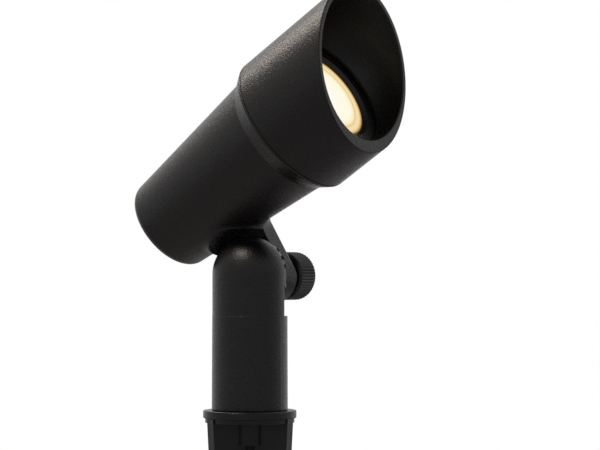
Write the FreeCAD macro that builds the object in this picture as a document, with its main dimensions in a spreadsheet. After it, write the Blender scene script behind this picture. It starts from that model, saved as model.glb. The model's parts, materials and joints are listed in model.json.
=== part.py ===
import FreeCAD, Part
import math
import os

import Sketcher
from FreeCAD import Placement, Rotation, Vector

# Garden spike spotlight. +Z is up, +X is the way the head points, +Y is the thumbscrew's side.
# The origin is on the stem's axis at the underside of the spike's flange, where the soil is.
# Lengths are millimetres and angles are degrees.

SIZES = {
    # whole lamp
    "pivot_height": 60.0,          # knuckle pivot above the soil
    "head_tilt": 32.0,             # head axis above the horizontal at rest
    "axis_height": 41.8,           # pivot to head axis
    "running_gap": 0.05,           # radial play of a shaft in its hole
    "loose_gap": 0.3,              # play between curved faces of pieces that move
    "cut_margin": 1.0,             # how far a cutting outline runs past what it cuts
    # spike
    "flange_radius": 19.75,
    "flange_thickness": 3.3,
    "flange_edge": 0.5,
    "collar_radius": 18.9,
    "collar_depth": 1.8,
    "vane_thickness": 4.9,
    "vane_top_radius": 19.4,
    "vane_waist_radius": 12.8,
    "vane_waist_depth": 120.0,
    "vane_count": 3.0,
    "vane_azimuth": 7.8,
    "stake_length": 205.0,
    "tip_cone_depth": 16.0,
    "tip_flat_radius": 0.6,
    "hub_radius": 7.0,
    "hub_depth": 11.4,
    "channel_radius": 4.2,         # cable room in the core under the hub
    "channel_depth": 27.0,
    # hollow bolt that the stem turns on
    "bolt_radius": 4.95,
    "bolt_bore": 3.0,
    "bolt_end_gap": 0.4,           # bolt end above the hub's end
    "bolt_head_flats": 16.0,
    "bolt_head_height": 5.0,
    "friction_washer_radius": 9.0,
    "friction_washer_thickness": 1.2,
    "grommet_bore": 2.2,
    "grommet_flange_radius": 4.0,
    "grommet_flange_thickness": 1.6,
    "grommet_length": 7.0,
    # stem
    "stem_top_radius": 15.9,
    "stem_foot_radius": 16.1,
    "stem_foot_gap": 0.3,          # shadow gap between stem and flange
    "dome_lift": 0.7,              # dome centre above the pivot
    "stem_bore": 12.5,
    "stem_bore_top": 20.0,         # end of the main bore below the pivot
    "foot_rebate_radius": 14.7,
    "foot_rebate_depth": 1.3,
    "plug_thickness": 8.0,
    "seal_inner_radius": 11.6,
    "pad_face": 5.4,               # valley plane of the stem's serrated pad from the stem axis
    "pad_radius": 15.9,
    "relief_face": 3.5,            # flat below the pad, from the stem axis
    "step_drop": 17.0,             # step below the pivot where the stem is round again
    "tooth_count": 24.0,
    "tooth_height": 0.8,
    "tooth_gap": 0.3,              # between the crests of the two rings
    "tooth_root_width": 1.9,
    "tooth_sink": 0.2,             # how far a tooth's root lies in its face
    "recess_radius": 7.6,          # wire room round the screw, in both halves
    "post_radius": 4.9,            # solid round the screw inside the wire room
    "stem_recess_depth": 7.4,
    "wire_hole_radius": 2.1,
    "wire_way_wall": 1.0,          # metal between the ear's wire way and its toothed face
    "wire_hole_offset": 0.4,       # wire hole axis beyond the stem axis, away from the screw
    "insert_radius": 4.1,
    "insert_length": 9.0,
    "insert_sink": 0.4,            # insert's end below the crests of the stem's teeth
    # thumbscrew
    "screw_radius": 3.0,
    "screw_reach": 2.0,            # screw end beyond the stem axis
    "washer_radius": 8.2,
    "washer_thickness": 1.2,
    "knob_collar_radius": 6.0,
    "knob_start": 23.2,
    "knob_end": 34.8,
    "knob_radius": 10.4,
    "knob_flutes": 48.0,
    "flute_depth": 0.45,
    "knob_edge": 1.1,
    "knob_face_radius": 7.2,
    "knob_face_depth": 0.8,
    "screw_insert_depth": 7.0,     # screw's grip inside the knob
    # housing
    "ear_outer_face": 17.7,
    "ear_half_width": 11.8,
    "ear_recess_depth": 6.3,
    "saddle_radius": 10.2,         # round side of the boss over the dome
    "saddle_centre": 0.4,          # its centre beyond the head's mid plane
    "dome_clearance_radius": 20.0, # concave cut round the stem's dome
    "rear_position": 26.7,         # rear wall behind the pivot, along the head axis
    "rear_radius": 20.6,
    "rear_edge": 4.0,
    "rear_edge_curve": 4.05,       # radius of the rounding between the rear face and the side
    "shoulder_start": 46.4,
    "shoulder_start_radius": 27.7,
    "head_front": 54.2,            # front face of the housing
    "hood_radius": 31.8,
    "shoulder_lip": 1.0,
    "housing_wall": 3.0,
    "rear_wall": 3.2,
    "mouth_radius": 27.8,
    "mouth_depth": 5.0,
    "ear_edge": 2.2,
    "ear_waist": 9.0,              # rounding between the ear's sides and the saddle's
    "saddle_blend": 3.8,           # rounding where the saddle and the ear grow out of the cup
    "post_side": 15.0,             # bracket posts each side of the head axis
    "bracket_post_radius": 3.4,
    "bracket_seat": 20.8,          # front of the posts, along the head axis
    "bracket_screw_radius": 1.5,
    "bracket_screw_length": 8.0,
    "bracket_screw_head": 2.9,
    "bracket_screw_head_height": 1.8,
    "bracket_hole_play": 0.2,
    # lamp, socket and bracket
    "bracket_radius": 19.0,
    "bracket_thickness": 1.2,
    "bracket_window_width": 9.0,
    "bracket_window_height": 4.6,
    "bracket_vent_radius": 3.0,
    "bracket_vent_offset": 12.5,
    "socket_length": 11.6,
    "socket_width": 17.0,
    "socket_height": 9.0,
    "pin_radius": 0.75,
    "pin_spacing": 5.3,
    "pin_length": 7.4,             # out of the lamp's base
    "pin_sink": 4.0,               # in the lamp's base
    "contact_radius": 1.5,
    "contact_length": 6.0,
    "contact_set_back": 1.0,       # contacts' ends behind the socket's front
    "lamp_seat": 23.2,             # rear of the lamp's base, along the head axis
    "lamp_base_length": 9.0,
    "lamp_base_width": 15.0,
    "lamp_base_height": 11.0,
    "lamp_front": 66.8,
    "lamp_rim_radius": 24.7,
    "lamp_rim_length": 4.0,
    "lamp_neck_radius": 9.6,
    "lamp_waist_position": 47.0,
    "lamp_waist_radius": 19.0,
    "lamp_wall": 1.4,
    "lamp_floor_step": 1.6,        # how much narrower the shell is inside at its floor
    "lamp_board_gap": 0.3,
    "lamp_board_position": 44.0,
    "lamp_board_thickness": 1.6,
    "lamp_optic_thickness": 2.2,
    "lamp_optic_rim": 1.6,
    "lamp_optic_slope": 0.8,       # width of the bevel inside the optic's rim
    "lamp_optic_dish": 0.7,
    "emitter_size": 2.4,
    "emitter_pitch": 6.4,
    "emitter_thickness": 0.9,
    # lens frame
    "frame_radius": 29.2,
    "frame_front": 75.6,
    "frame_inner_radius": 25.5,
    "spigot_length": 4.8,
    "spigot_gap": 0.3,
    "oring_section": 1.5,
    "oring_position": 51.6,
    "oring_proud": 0.05,           # how far the ring stands out of the spigot
    "groove_side_gap": 0.15,
    "lens_front": 73.9,
    "lens_thickness": 3.0,
    "lens_radius": 24.6,
    "lens_bevel": 0.4,
    "lens_opening": 19.5,
    "lens_opening_land": 0.4,
    "lens_chamfer_radius": 21.2,
    "gasket_thickness": 1.0,
    "gasket_inner_radius": 22.4,
    "lens_ring_thickness": 1.6,
    "lens_ring_inner_radius": 23.2,
    "clip_position": 66.0,
    "clip_width": 1.0,
    "clip_inner_radius": 28.0,
    "clip_outer_radius": 30.3,
    "clip_opening": 40.0,
    "clip_groove_play": 0.05,      # each side of the clip in the lens frame
    "clip_hood_play": 0.25,        # each side of the clip in the hood
    # hood
    "seam_gap": 0.35,
    "hood_bore": 29.5,
    "hood_throat_position": 77.4,
    "hood_throat_radius": 25.3,
    "hood_bowl_end": 92.0,
    "hood_bowl_curve": 27.5,
    "rim_top": 110.35,
    "rim_bottom": 78.6,
    "rim_edge": 0.5,
    # leads
    "lead_radius": 0.7,
    "lead_spacing": 1.6,
    "splice_radius": 2.7,
    "splice_length": 9.5,
    "splice_side": 6.4,
    "splice_gap": 0.9,             # splice caps above the swivel bolt's head
    "lead_end_turn": 8.0,          # each lead's end to one side of the straight down direction
    "lead_way_turn": 24.0,         # where the leads leave the wire room, from straight up
    "lead_climb": 1.2,             # first point in the wire way above the wire room's middle
    "lead_bend_drop": 12.0,        # bend inside the cup below the head axis
    "lead_bend_set_back": 3.0,
    "lead_socket_drop": 5.0,
    "lead_socket_run": 9.0,        # last bend behind the socket
    "lead_socket_sag": 0.4,
    "bush_bore": 1.6,
    "bush_length": 5.0,
}

doc = FreeCAD.newDocument("spike_spotlight")
sheet = doc.addObject("Spreadsheet::Sheet", "sizes")
for row, (alias, number) in enumerate(SIZES.items(), start=1):
    sheet.set(f"A{row}", alias)
    sheet.set(f"B{row}", str(number))
    sheet.setAlias(f"B{row}", alias)
doc.recompute()


class Size:
    """A number together with the sheet formula that gives it."""

    def __init__(self, value, formula):
        self.value = value
        self.formula = formula

    def __add__(self, other):
        other = as_size(other)
        return Size(self.value + other.value, f"({self.formula} + {other.formula})")

    def __sub__(self, other):
        other = as_size(other)
        return Size(self.value - other.value, f"({self.formula} - {other.formula})")

    def __mul__(self, other):
        other = as_size(other)
        return Size(self.value * other.value, f"({self.formula} * {other.formula})")

    def __truediv__(self, other):
        other = as_size(other)
        return Size(self.value / other.value, f"({self.formula} / {other.formula})")

    def __neg__(self):
        return Size(-self.value, f"(0 - {self.formula})")

    def __radd__(self, other):
        return as_size(other) + self

    def __rsub__(self, other):
        return as_size(other) - self

    def __rmul__(self, other):
        return as_size(other) * self


def as_size(number):
    if isinstance(number, Size):
        return number
    return Size(float(number), repr(float(number)))


def root(size):
    return Size(math.sqrt(size.value), f"sqrt({size.formula})")


def sine(size):
    return Size(math.sin(math.radians(size.value)), f"sin({size.formula})")


def cosine(size):
    return Size(math.cos(math.radians(size.value)), f"cos({size.formula})")


class Named:
    """The sheet's cells by name, each as a Size."""

    def __getattr__(self, alias):
        return Size(float(sheet.get(alias)), f"sizes.{alias}")


dim = Named()
NEAR = 0.01                        # two places closer than this are the same place
CUT_REACH = 1.2                    # a wide cutting outline reaches this many times as far as what it cuts
START_ANGLE = 10                   # any angle but 0 keeps a rotation's axis until the sheet's angle is bound


def bind(thing, prop, size):
    thing.setExpression(prop, as_size(size).formula)


# ---------------------------------------------------------------- places

UP = Vector(0, 0, 1)
TILT_AXIS = Vector(0, -1, 0)


def place_on(thing, place):
    """Soil level ("soil"), the pivot ("pivot"), the tilted pivot ("head") or the head axis ("barrel")."""
    if place == "soil":
        return
    thing.Placement = Placement(Vector(0, 0, 1), Rotation())
    if place in ("head", "barrel"):
        thing.Placement = Placement(Vector(0, 0, 1), Rotation(TILT_AXIS, START_ANGLE))
        bind(thing, "Placement.Rotation.Angle", dim.head_tilt)
    if place == "barrel":
        bind(thing, "Placement.Base.x", -(dim.axis_height * sine(dim.head_tilt)))
        bind(thing, "Placement.Base.z", dim.pivot_height + dim.axis_height * cosine(dim.head_tilt))
    else:
        bind(thing, "Placement.Base.z", dim.pivot_height)


def place_of(place):
    """The same places as plain placements, for shapes made directly."""
    pivot = Vector(0, 0, dim.pivot_height.value)
    if place == "pivot":
        return Placement(pivot, Rotation())
    return Placement(pivot, Rotation(TILT_AXIS, dim.head_tilt.value))


# ---------------------------------------------------------------- sketches and features

def new_body(label, place):
    body = doc.addObject("PartDesign::Body", label)
    body.Label = label
    place_on(body, place)
    return body


def new_sketch(body, name, role, along=0, across=0, up=0):
    """A sketch on an origin plane, its own origin moved by across, up and along its normal."""
    plane = next(item for item in body.Origin.OriginFeatures if item.Role == role)
    sketch = body.newObject("Sketcher::SketchObject", f"{body.Label}_{name}")
    sketch.AttachmentSupport = [(plane, "")]
    sketch.MapMode = "FlatFace"
    bind(sketch, "AttachmentOffset.Base.x", across)
    bind(sketch, "AttachmentOffset.Base.y", up)
    bind(sketch, "AttachmentOffset.Base.z", along)
    return sketch


def fix_point(sketch, item, end, corner):
    for name, axis, size in (("DistanceX", -2, corner[0]), ("DistanceY", -1, corner[1])):
        size = as_size(size)
        if size.formula == "0.0":
            sketch.addConstraint(Sketcher.Constraint("PointOnObject", item, end, axis))
            continue
        index = sketch.addConstraint(Sketcher.Constraint(name, -1, 1, item, end, size.value))
        bind(sketch, f"Constraints[{index}]", size)


def outline(sketch, corners, arcs=None):
    """A closed outline through the corners. arcs gives, for the side that leaves a corner, its
    radius, positive where the side bends left of its way and negative where it bends right."""
    arcs = arcs or {}
    points = [Vector(as_size(x).value, as_size(y).value, 0) for x, y in corners]
    sides = []
    for index, start in enumerate(points):
        finish = points[(index + 1) % len(points)]
        if index not in arcs:
            line = sketch.addGeometry(Part.LineSegment(start, finish))
            sides.append((line, 1, 2))
            continue
        radius = as_size(arcs[index])
        half = (finish - start) * 0.5
        left = Vector(-half.y, half.x, 0).normalize()
        rise = math.sqrt(max(radius.value ** 2 - half.Length ** 2, 0))
        side = 1 if radius.value > 0 else -1
        centre = start + half + left * (rise * side)
        first, last = (start, finish) if side > 0 else (finish, start)
        angle_first = math.atan2(first.y - centre.y, first.x - centre.x)
        angle_last = math.atan2(last.y - centre.y, last.x - centre.x)
        circle = Part.Circle(centre, UP, abs(radius.value))
        arc = sketch.addGeometry(Part.ArcOfCircle(circle, angle_first, angle_last))
        number = sketch.addConstraint(Sketcher.Constraint("Radius", arc, abs(radius.value)))
        bind(sketch, f"Constraints[{number}]", radius if side > 0 else -radius)
        sides.append((arc, 1, 2) if side > 0 else (arc, 2, 1))
    for index, (item, begin, end) in enumerate(sides):
        following, next_begin, _ = sides[(index + 1) % len(sides)]
        sketch.addConstraint(Sketcher.Constraint("Coincident", item, end, following, next_begin))
    for (item, begin, end), corner in zip(sides, corners):
        fix_point(sketch, item, begin, corner)


def circle(sketch, across, up, radius):
    across, up, radius = as_size(across), as_size(up), as_size(radius)
    ring = Part.Circle(Vector(across.value, up.value, 0), UP, radius.value)
    item = sketch.addGeometry(ring)
    fix_point(sketch, item, 3, (across, up))
    index = sketch.addConstraint(Sketcher.Constraint("Radius", item, radius.value))
    bind(sketch, f"Constraints[{index}]", radius)


def box_corners(left, low, right, high):
    return [(left, low), (right, low), (right, high), (left, high)]


TURN_PLANES = {"X": ("XZ_Plane", "H_Axis"), "Y": ("XY_Plane", "V_Axis"), "Z": ("XZ_Plane", "V_Axis")}


def turn(body, name, axis, corners, arcs=None, cut=False):
    """Turns an outline about the body's X, Y or Z axis. Corners are (along, radius) about X and
    (radius, along) about Y and Z."""
    role, sketch_axis = TURN_PLANES[axis]
    sketch = new_sketch(body, name + "_outline", role)
    outline(sketch, corners, arcs)
    kind = "PartDesign::Groove" if cut else "PartDesign::Revolution"
    feature = body.newObject(kind, f"{body.Label}_{name}")
    feature.Profile = sketch
    feature.ReferenceAxis = (sketch, [sketch_axis])
    feature.Angle = 360
    doc.recompute()
    return feature


def extrude(body, name, sketch, length, cut=False, backwards=False, both_ways=False):
    kind = "PartDesign::Pocket" if cut else "PartDesign::Pad"
    feature = body.newObject(kind, f"{body.Label}_{name}")
    feature.Profile = sketch
    bind(feature, "Length", length)
    feature.Midplane = both_ways
    feature.Reversed = backwards
    doc.recompute()
    return feature


def repeat_round(body, name, features, sketch, count):
    pattern = body.newObject("PartDesign::PolarPattern", f"{body.Label}_{name}")
    pattern.Originals = features
    pattern.Axis = (sketch, ["N_Axis"])
    pattern.Angle = 360
    bind(pattern, "Occurrences", count)
    body.Tip = pattern
    doc.recompute()
    return pattern


def edges_where(feature, test):
    shape = feature.Shape
    return [f"Edge{index}" for index, edge in enumerate(shape.Edges, start=1) if test(edge)]


def round_edges(body, name, feature, test, radius):
    edges = edges_where(feature, test)
    rounding = body.newObject("PartDesign::Fillet", f"{body.Label}_{name}")
    rounding.Base = (feature, edges)
    bind(rounding, "Radius", radius)
    doc.recompute()
    return rounding


def turned(label, place, axis, corners, arcs=None):
    body = new_body(label, place)
    turn(body, "turned", axis, corners, arcs)
    return body


def flat_ring(label, place, axis, start, end, inner, outer):
    if axis == "X":
        return turned(label, place, axis, box_corners(start, inner, end, outer))
    return turned(label, place, axis, box_corners(inner, start, outer, end))


# ---------------------------------------------------------------- shared positions

flange_top = dim.flange_thickness
foot = flange_top + dim.stem_foot_gap                 # stem foot above the soil
foot_drop = dim.pivot_height - foot                   # stem foot below the pivot
plug_bottom = foot + dim.foot_rebate_depth
plug_top = plug_bottom + dim.plug_thickness
bolt_seat = plug_top + dim.friction_washer_thickness
bolt_end = dim.bolt_end_gap - dim.hub_depth
crest_face = dim.pad_face + dim.tooth_height          # crests of the stem's teeth
ear_crest_face = crest_face + dim.tooth_gap           # crests of the ear's teeth
ear_inner_face = ear_crest_face + dim.tooth_height    # valleys of the ear's teeth
wire_way_side = ear_inner_face + dim.wire_way_wall + dim.wire_hole_radius
wire_room_middle = (dim.recess_radius + dim.post_radius) / 2
washer_end = dim.ear_outer_face + dim.washer_thickness
lens_back = dim.lens_front - dim.lens_thickness
gasket_back = lens_back - dim.gasket_thickness
ring_back = gasket_back - dim.lens_ring_thickness
lamp_floor_radius = dim.lamp_waist_radius - dim.lamp_wall - dim.lamp_floor_step
splice_foot = bolt_seat + dim.bolt_head_height + dim.splice_gap - dim.pivot_height
splice_top = splice_foot + dim.splice_length          # splice caps' tops, from the pivot


# ---------------------------------------------------------------- spike

def make_ground_stake():
    """Flange, collar and hub turned as one, three tapering vanes, and the cable's room under the hub."""
    body = new_body("ground_stake", "soil")
    edge = dim.flange_edge
    turn(body, "head", "Z", [
        (0, -dim.hub_depth), (dim.hub_radius, -dim.hub_depth), (dim.hub_radius, -dim.collar_depth),
        (dim.collar_radius, -dim.collar_depth), (dim.collar_radius, 0), (dim.flange_radius - edge, 0),
        (dim.flange_radius, edge), (dim.flange_radius, flange_top - edge),
        (dim.flange_radius - edge, flange_top), (0, flange_top)], arcs={5: edge, 7: edge})
    vane_sketch = new_sketch(body, "vane_outline", "XZ_Plane")
    outline(vane_sketch, [
        (0, -dim.stake_length), (dim.tip_flat_radius, -dim.stake_length),
        (dim.vane_waist_radius, -dim.vane_waist_depth), (dim.vane_top_radius, -dim.collar_depth),
        (dim.vane_top_radius, 0), (0, 0)])
    # the first vane lies along +X until the whole spike is turned by vane_azimuth
    vane = extrude(body, "vane", vane_sketch, dim.vane_thickness, both_ways=True)
    turn_sketch = new_sketch(body, "vane_centre", "XY_Plane")
    circle(turn_sketch, 0, 0, dim.hub_radius)
    repeat_round(body, "vanes", [vane], turn_sketch, dim.vane_count)
    cone_top = dim.tip_cone_depth - dim.stake_length
    wide = dim.vane_top_radius
    turn(body, "tip", "Z", [
        (dim.tip_flat_radius, -dim.stake_length), (wide, -dim.stake_length), (wide, cone_top),
        (dim.vane_thickness, cone_top)], cut=True)
    channel_sketch = new_sketch(body, "channel_outline", "XY_Plane", along=-dim.hub_depth)
    circle(channel_sketch, 0, 0, dim.channel_radius)
    extrude(body, "channel", channel_sketch, dim.channel_depth - dim.hub_depth, cut=True)
    bore_sketch = new_sketch(body, "bore_outline", "XY_Plane", along=flange_top)
    circle(bore_sketch, 0, 0, dim.bolt_radius)
    extrude(body, "bore", bore_sketch, flange_top + dim.hub_depth, cut=True)
    body.Placement = Placement(Vector(), Rotation(UP, START_ANGLE))
    bind(body, "Placement.Rotation.Angle", dim.vane_azimuth)
    return body


def make_swivel_bolt():
    """Hollow bolt: hexagon head in the stem, shank through the plug and down the spike's hub."""
    body = new_body("swivel_bolt", "soil")
    shank = new_sketch(body, "shank_outline", "XY_Plane", along=bolt_end)
    circle(shank, 0, 0, dim.bolt_radius)
    extrude(body, "shank", shank, bolt_seat - bolt_end)
    head = new_sketch(body, "head_outline", "XY_Plane", along=bolt_seat)
    half = dim.bolt_head_flats / 2
    corner = half / cosine(as_size(30))               # a hexagon's corners are 30 degrees off its flats
    outline(head, [
        (corner, 0), (corner / 2, half), (-(corner / 2), half), (-corner, 0),
        (-(corner / 2), -half), (corner / 2, -half)])
    extrude(body, "head", head, dim.bolt_head_height)
    hollow = new_sketch(body, "hollow_outline", "XY_Plane", along=bolt_seat + dim.bolt_head_height)
    circle(hollow, 0, 0, dim.bolt_bore)
    extrude(body, "hollow", hollow, bolt_seat + dim.bolt_head_height - bolt_end, cut=True)
    return body


def make_cable_grommet():
    """Rubber bush in the bolt's lower end, where the supply cable comes in."""
    hub_end = -dim.hub_depth
    under = hub_end - dim.grommet_flange_thickness
    return turned("cable_grommet", "soil", "Z", [
        (dim.grommet_bore, under), (dim.grommet_flange_radius, under),
        (dim.grommet_flange_radius, hub_end), (dim.bolt_bore, hub_end),
        (dim.bolt_bore, under + dim.grommet_length), (dim.grommet_bore, under + dim.grommet_length)])


# ---------------------------------------------------------------- stem

def tooth_ring(body, crest_plane, height, outer, up=0):
    """Radial ridges of triangular section on a face square to Y. They rise by height towards +Y, or
    towards -Y where it is negative, round the point that lies up from the body's origin."""
    order = 1 if height.value > 0 else -1
    inner = dim.recess_radius
    root = crest_plane - height - dim.tooth_sink * order
    tooth = new_sketch(body, "tooth_outline", "YZ_Plane", along=inner, up=up)
    half = dim.tooth_root_width / 2
    outline(tooth, [(root, -half), (crest_plane, 0), (root, half)][::order])
    ridge = extrude(body, "tooth", tooth, outer - inner)
    centre = new_sketch(body, "tooth_centre", "XZ_Plane", up=up)
    circle(centre, 0, 0, outer)
    return repeat_round(body, "teeth", [ridge], centre, dim.tooth_count)


def make_stem():
    """Round post with a domed top, a serrated flat for the ear, and room inside for the leads."""
    body = new_body("stem", "pivot")
    top = dim.dome_lift + dim.stem_top_radius
    turn(body, "post", "Z", [
        (0, -foot_drop), (dim.stem_foot_radius, -foot_drop), (dim.stem_top_radius, 0),
        (dim.stem_top_radius, dim.dome_lift), (0, top)], arcs={3: dim.stem_top_radius})
    wide = dim.stem_foot_radius + dim.cut_margin
    flat = new_sketch(body, "flat_outline", "XZ_Plane", along=-dim.pad_face)
    outline(flat, box_corners(-wide, -dim.step_drop, wide, top + dim.cut_margin))
    extrude(body, "flat", flat, wide, cut=True)
    relief = new_sketch(body, "relief_outline", "XZ_Plane", along=-dim.relief_face)
    pad = dim.pad_radius
    outline(relief, [
        (-wide, -dim.step_drop), (wide, -dim.step_drop), (wide, 0), (pad, 0), (0, -pad), (-pad, 0),
        (-wide, 0)], arcs={3: -pad, 4: -pad})
    extrude(body, "relief", relief, wide, cut=True)
    tooth_ring(body, crest_face, dim.tooth_height, dim.pad_radius)
    trim = new_sketch(body, "trim_outline", "XY_Plane", along=-dim.step_drop)
    circle(trim, 0, 0, dim.pad_radius * 2)
    circle(trim, 0, 0, dim.stem_top_radius)
    extrude(body, "trim", trim, dim.step_drop + top, cut=True, backwards=True)
    recess = new_sketch(body, "recess_outline", "XZ_Plane", along=-crest_face)
    circle(recess, 0, 0, dim.recess_radius)
    circle(recess, 0, 0, dim.post_radius)
    extrude(body, "recess", recess, dim.stem_recess_depth + dim.tooth_height, cut=True, backwards=True)
    insert = new_sketch(body, "insert_outline", "XZ_Plane", along=-crest_face)
    circle(insert, 0, 0, dim.insert_radius)
    extrude(body, "insert", insert, crest_face + dim.screw_reach + dim.insert_radius, cut=True,
            backwards=True)
    bore = new_sketch(body, "bore_outline", "XY_Plane", along=-foot_drop)
    circle(bore, 0, 0, dim.stem_bore)
    extrude(body, "bore", bore, foot_drop - dim.stem_bore_top, cut=True, backwards=True)
    rebate = new_sketch(body, "rebate_outline", "XY_Plane", along=-foot_drop)
    circle(rebate, 0, 0, dim.foot_rebate_radius)
    extrude(body, "rebate", rebate, dim.foot_rebate_depth, cut=True, backwards=True)
    hole_start = -dim.stem_bore_top - dim.cut_margin
    wire_hole = new_sketch(body, "wire_hole_outline", "XY_Plane", along=hole_start)
    circle(wire_hole, 0, -dim.wire_hole_offset, dim.wire_hole_radius)
    extrude(body, "wire_hole", wire_hole, -wire_room_middle - hole_start, cut=True, backwards=True)
    return body


def make_base_plug():
    """Plug screwed into the stem's foot. It turns on the hollow bolt."""
    return flat_ring("base_plug", "soil", "Z", plug_bottom, plug_top,
                     dim.bolt_radius + dim.running_gap, dim.stem_bore)


def make_base_seal():
    """Soft ring in the foot's rebate, between the stem and the flange."""
    return flat_ring("base_seal", "soil", "Z", flange_top, plug_bottom,
                     dim.seal_inner_radius, dim.foot_rebate_radius)


def make_thread_insert():
    end = crest_face - dim.insert_sink
    return flat_ring("thread_insert", "pivot", "Y", end - dim.insert_length, end,
                     dim.screw_radius + dim.running_gap, dim.insert_radius)


# ---------------------------------------------------------------- thumbscrew

def make_thumb_washer():
    return flat_ring("thumb_washer", "head", "Y", dim.ear_outer_face, washer_end,
                     dim.screw_radius + dim.running_gap, dim.washer_radius)


def make_knob():
    """Fluted head on a plain collar, bevelled at both ends, with a shallow dish in its face."""
    body = new_body("knob", "head")
    turn(body, "collar", "Y", [
        (dim.screw_radius, washer_end), (dim.knob_collar_radius, washer_end),
        (dim.knob_collar_radius, dim.knob_start + dim.cut_margin),
        (dim.screw_radius, dim.knob_start + dim.cut_margin)])
    star = new_sketch(body, "flutes_outline", "XZ_Plane", along=-dim.knob_start)
    flutes = int(round(dim.knob_flutes.value))
    corners = []
    for index in range(2 * flutes):
        radius = dim.knob_radius - dim.flute_depth if index % 2 else dim.knob_radius
        angle = as_size(index) * 180 / dim.knob_flutes
        corners.append((radius * cosine(angle), radius * sine(angle)))
    outline(star, corners)
    extrude(body, "flutes", star, dim.knob_end - dim.knob_start, backwards=True)
    outside = dim.knob_radius + dim.cut_margin
    bevel = dim.knob_edge
    turn(body, "outer_bevel", "Y", [
        (dim.knob_radius - bevel, dim.knob_end), (outside, dim.knob_end - bevel - dim.cut_margin),
        (outside, dim.knob_end)], cut=True)
    turn(body, "inner_bevel", "Y", [
        (dim.knob_radius - bevel, dim.knob_start), (outside, dim.knob_start),
        (outside, dim.knob_start + bevel + dim.cut_margin)], cut=True)
    turn(body, "dish", "Y", [
        (0, dim.knob_end - dim.knob_face_depth),
        (dim.knob_face_radius, dim.knob_end - dim.knob_face_depth),
        (dim.knob_face_radius, dim.knob_end), (0, dim.knob_end)], cut=True)
    socket = new_sketch(body, "screw_socket_outline", "XZ_Plane", along=-dim.knob_start)
    circle(socket, 0, 0, dim.screw_radius)
    extrude(body, "screw_socket", socket, dim.screw_insert_depth, cut=True)
    return body


def make_knob_screw():
    """M6 screw moulded into the knob."""
    body = new_body("knob_screw", "head")
    section = new_sketch(body, "section", "XZ_Plane", along=dim.screw_reach)
    circle(section, 0, 0, dim.screw_radius)
    length = dim.screw_reach + dim.knob_start + dim.screw_insert_depth
    extrude(body, "shank", section, length, backwards=True)
    return body


# ---------------------------------------------------------------- housing

def on_barrel(height):
    """A height above the tilted pivot, measured from the head axis."""
    return height - dim.axis_height


def housing_wall_radius(position):
    """Outer radius of the housing's taper at a place along the head axis."""
    rise = (dim.shoulder_start_radius - dim.rear_radius) / (dim.shoulder_start + dim.rear_position)
    return dim.rear_radius + rise * (position + dim.rear_position)


def saddle_tangent_point():
    """Where the line from the ear's inner corner touches the saddle's circle, on the +X side."""
    half = dim.ear_half_width
    rise = ear_inner_face + dim.saddle_centre
    radius = dim.saddle_radius
    far = half * half + rise * rise
    reach = root(far - radius * radius)
    across = radius * (radius * half + reach * rise) / far
    along = radius * (radius * rise - reach * half) / far - dim.saddle_centre
    return across, along


def make_housing():
    """Cast cup, flared to the hood's diameter, with a saddle round the stem's dome and one ear."""
    body = new_body("housing", "barrel")
    rear = -dim.rear_position
    lip = dim.head_front - dim.shoulder_lip
    turn(body, "cup", "X", [
        (rear, 0), (dim.head_front, 0), (dim.head_front, dim.hood_radius), (lip, dim.hood_radius),
        (dim.shoulder_start, dim.shoulder_start_radius),
        (rear + dim.rear_edge, housing_wall_radius(rear + dim.rear_edge)),
        (rear, dim.rear_radius - dim.rear_edge)], arcs={5: dim.rear_edge_curve})
    # saddle and ear in plan, from the head axis down past the pivot
    half = dim.ear_half_width
    across, along = saddle_tangent_point()
    plan = new_sketch(body, "boss_outline", "XY_Plane", along=on_barrel(-half))
    outline(plan, [
        (half, dim.ear_outer_face), (-half, dim.ear_outer_face), (-half, ear_inner_face),
        (-across, along), (0, -dim.saddle_centre - dim.saddle_radius), (across, along),
        (half, ear_inner_face)],
        arcs={3: dim.saddle_radius, 4: dim.saddle_radius})
    boss = extrude(body, "boss", plan, dim.axis_height + half)
    waisted = round_edges(body, "ear_waist", boss, is_waist_edge, dim.ear_waist)
    rounded = round_edges(body, "ear_edges", waisted, is_ear_edge, dim.ear_edge)
    round_edges(body, "blend", rounded, is_saddle_root, dim.saddle_blend)
    corner = new_sketch(body, "ear_end_outline", "XZ_Plane", up=on_barrel(0))
    wide = half * 2
    outline(corner, [
        (-wide, -wide), (wide, -wide), (wide, 0), (half, 0), (0, -half), (-half, 0), (-wide, 0)],
        arcs={3: -half, 4: -half})
    extrude(body, "ear_end", corner, 2 * (dim.ear_outer_face + wide), cut=True, both_ways=True)
    clearance = new_sketch(body, "dome_clearance_outline", "XZ_Plane", along=-ear_inner_face,
                           up=on_barrel(0))
    circle(clearance, 0, 0, dim.dome_clearance_radius)
    extrude(body, "dome_clearance", clearance, dim.hood_radius + ear_inner_face, cut=True,
            backwards=True)
    inside_rear = rear + dim.rear_wall
    seat = dim.head_front - dim.mouth_depth
    turn(body, "cavity", "X", [
        (inside_rear, 0), (dim.head_front, 0), (dim.head_front, dim.mouth_radius),
        (seat, dim.mouth_radius), (seat, housing_wall_radius(seat) - dim.housing_wall),
        (inside_rear, housing_wall_radius(inside_rear) - dim.housing_wall)], cut=True)
    return body


def is_ear_edge(edge):
    """Upright corners of the ear's outer side, in the barrel's frame."""
    box = edge.BoundBox
    return is_upright(edge) and abs(box.YMax - dim.ear_outer_face.value) < NEAR


def is_waist_edge(edge):
    """Upright corners where the ear's sides turn in towards the saddle."""
    box = edge.BoundBox
    return is_upright(edge) and abs(box.YMax - ear_inner_face.value) < NEAR


def is_upright(edge):
    box = edge.BoundBox
    return box.ZLength > dim.ear_half_width.value and box.YLength < NEAR and box.XLength < NEAR


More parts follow.
